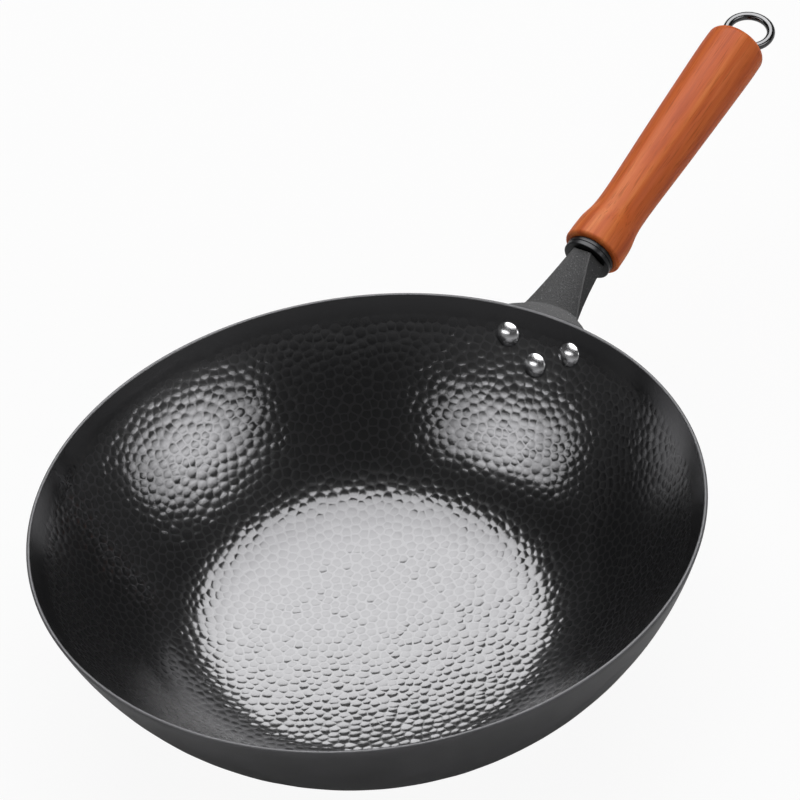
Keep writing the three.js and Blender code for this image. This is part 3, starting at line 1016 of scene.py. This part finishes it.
def makeGrip():
    start = handle["gripAt"]
    end = start + handle["gripLength"]
    front, butt = grip["frontRound"], grip["buttRound"]
    socketRadius, socketDepth = grip["socket"]
    boreRadius, boreDepth = grip["counterbore"]
    buttRadius = grip["swell"][-1][1]
    knots = [(start + front, grip["frontRadius"])]
    knots += [(start + along, radius) for along, radius in grip["swell"]]
    knots.append((end - butt, buttRadius))
    profile = [(start + socketDepth, socketRadius), (start, socketRadius)]
    profile += arc(start + front, grip["frontRadius"] - front, front, -90, 0, grip["frontSteps"])
    profile += smoothLine(knots, grip["swellSteps"])[1:]
    profile += arc(end - butt, buttRadius - butt, butt, 0, 90, grip["buttSteps"])[1:]
    edge = grip["boreEdge"]
    profile += [(end, boreRadius + edge), (end - edge, boreRadius), (end - boreDepth, boreRadius)]
    profile += [(end - boreDepth, grip["bore"]), (start + socketDepth, grip["bore"])]
    profile += [(start + socketDepth, socketRadius)]
    piece = turnPiece("handleGrip", profile, grip["segments"], handlePlace())
    keepPiece(piece, "handle_grip", "wood")


makeGrip()
print("grip turned")


# Washer under the eye, sunk in the butt
washer = {"at": 177.6, "radius": 8.6, "thickness": 1.5, "hole": 2.8, "edge": 0.3, "segments": 64}


def makeWasher():
    low, high = washer["at"], washer["at"] + washer["thickness"]
    radius, hole, edge = washer["radius"], washer["hole"], washer["edge"]
    profile = [(low, hole), (low, radius - edge), (low + edge, radius), (high - edge, radius)]
    profile += [(high, radius - edge), (high, hole + edge), (high - edge, hole), (low, hole)]
    piece = turnPiece("endWasher", profile, washer["segments"], handlePlace())
    keepPiece(piece, "end_washer", "steel")


makeWasher()
print("washer set")


# Ring: round wire bent to a loop through the eye
ringLoop = {
    "pivotAt": 184.8,
    "roll": 9.4,
    "droop": 8.8,
    "radius": 10.8,
    "wire": 2.05,
    "steps": 120,
    "around": 28,
}


def makeRing():
    startPiece()
    radius = ringLoop["radius"] * mm
    bpy.ops.mesh.primitive_circle_add(vertices=ringLoop["around"], radius=ringLoop["wire"] * mm)
    piece = bpy.context.object
    piece.name = "hangingRing"
    bpy.ops.object.mode_set(mode="EDIT")
    bpy.ops.mesh.select_all(action="SELECT")
    bpy.ops.transform.rotate(value=math.pi / 2, orient_axis="X", center_override=(0, 0, 0))
    bpy.ops.transform.translate(value=(radius, 0, 0))
    bpy.ops.mesh.spin(steps=ringLoop["steps"], angle=2 * math.pi, center=(0, 0, 0), axis=(0, 0, 1))
    bpy.ops.mesh.select_all(action="SELECT")
    bpy.ops.mesh.remove_doubles(threshold=mergeGap * mm)
    bpy.ops.mesh.normals_make_consistent(inside=False)
    bpy.ops.object.mode_set(mode="OBJECT")
    # ring frame: X along the handle, Z up, turned by the eye's roll and the ring's droop
    rise = Matrix.Rotation(-math.radians(handle["rise"]), 4, "Y")
    roll = Matrix.Rotation(math.radians(ringLoop["roll"]), 4, "X")
    pivot = Matrix.Translation((ringLoop["pivotAt"] * mm, 0, 0))
    droop = Matrix.Rotation(math.radians(ringLoop["droop"]), 4, "Y")
    start = Matrix.Translation(Vector(handle["start"]) * mm)
    piece.matrix_world = start @ rise @ roll @ pivot @ droop @ Matrix.Translation((radius, 0, 0))
    bpy.ops.object.transform_apply(location=True, rotation=True, scale=True)
    bpy.ops.object.shade_smooth()
    keepPiece(piece, "hanging_ring", "smoked", "ring")


makeRing()
print("ring bent")
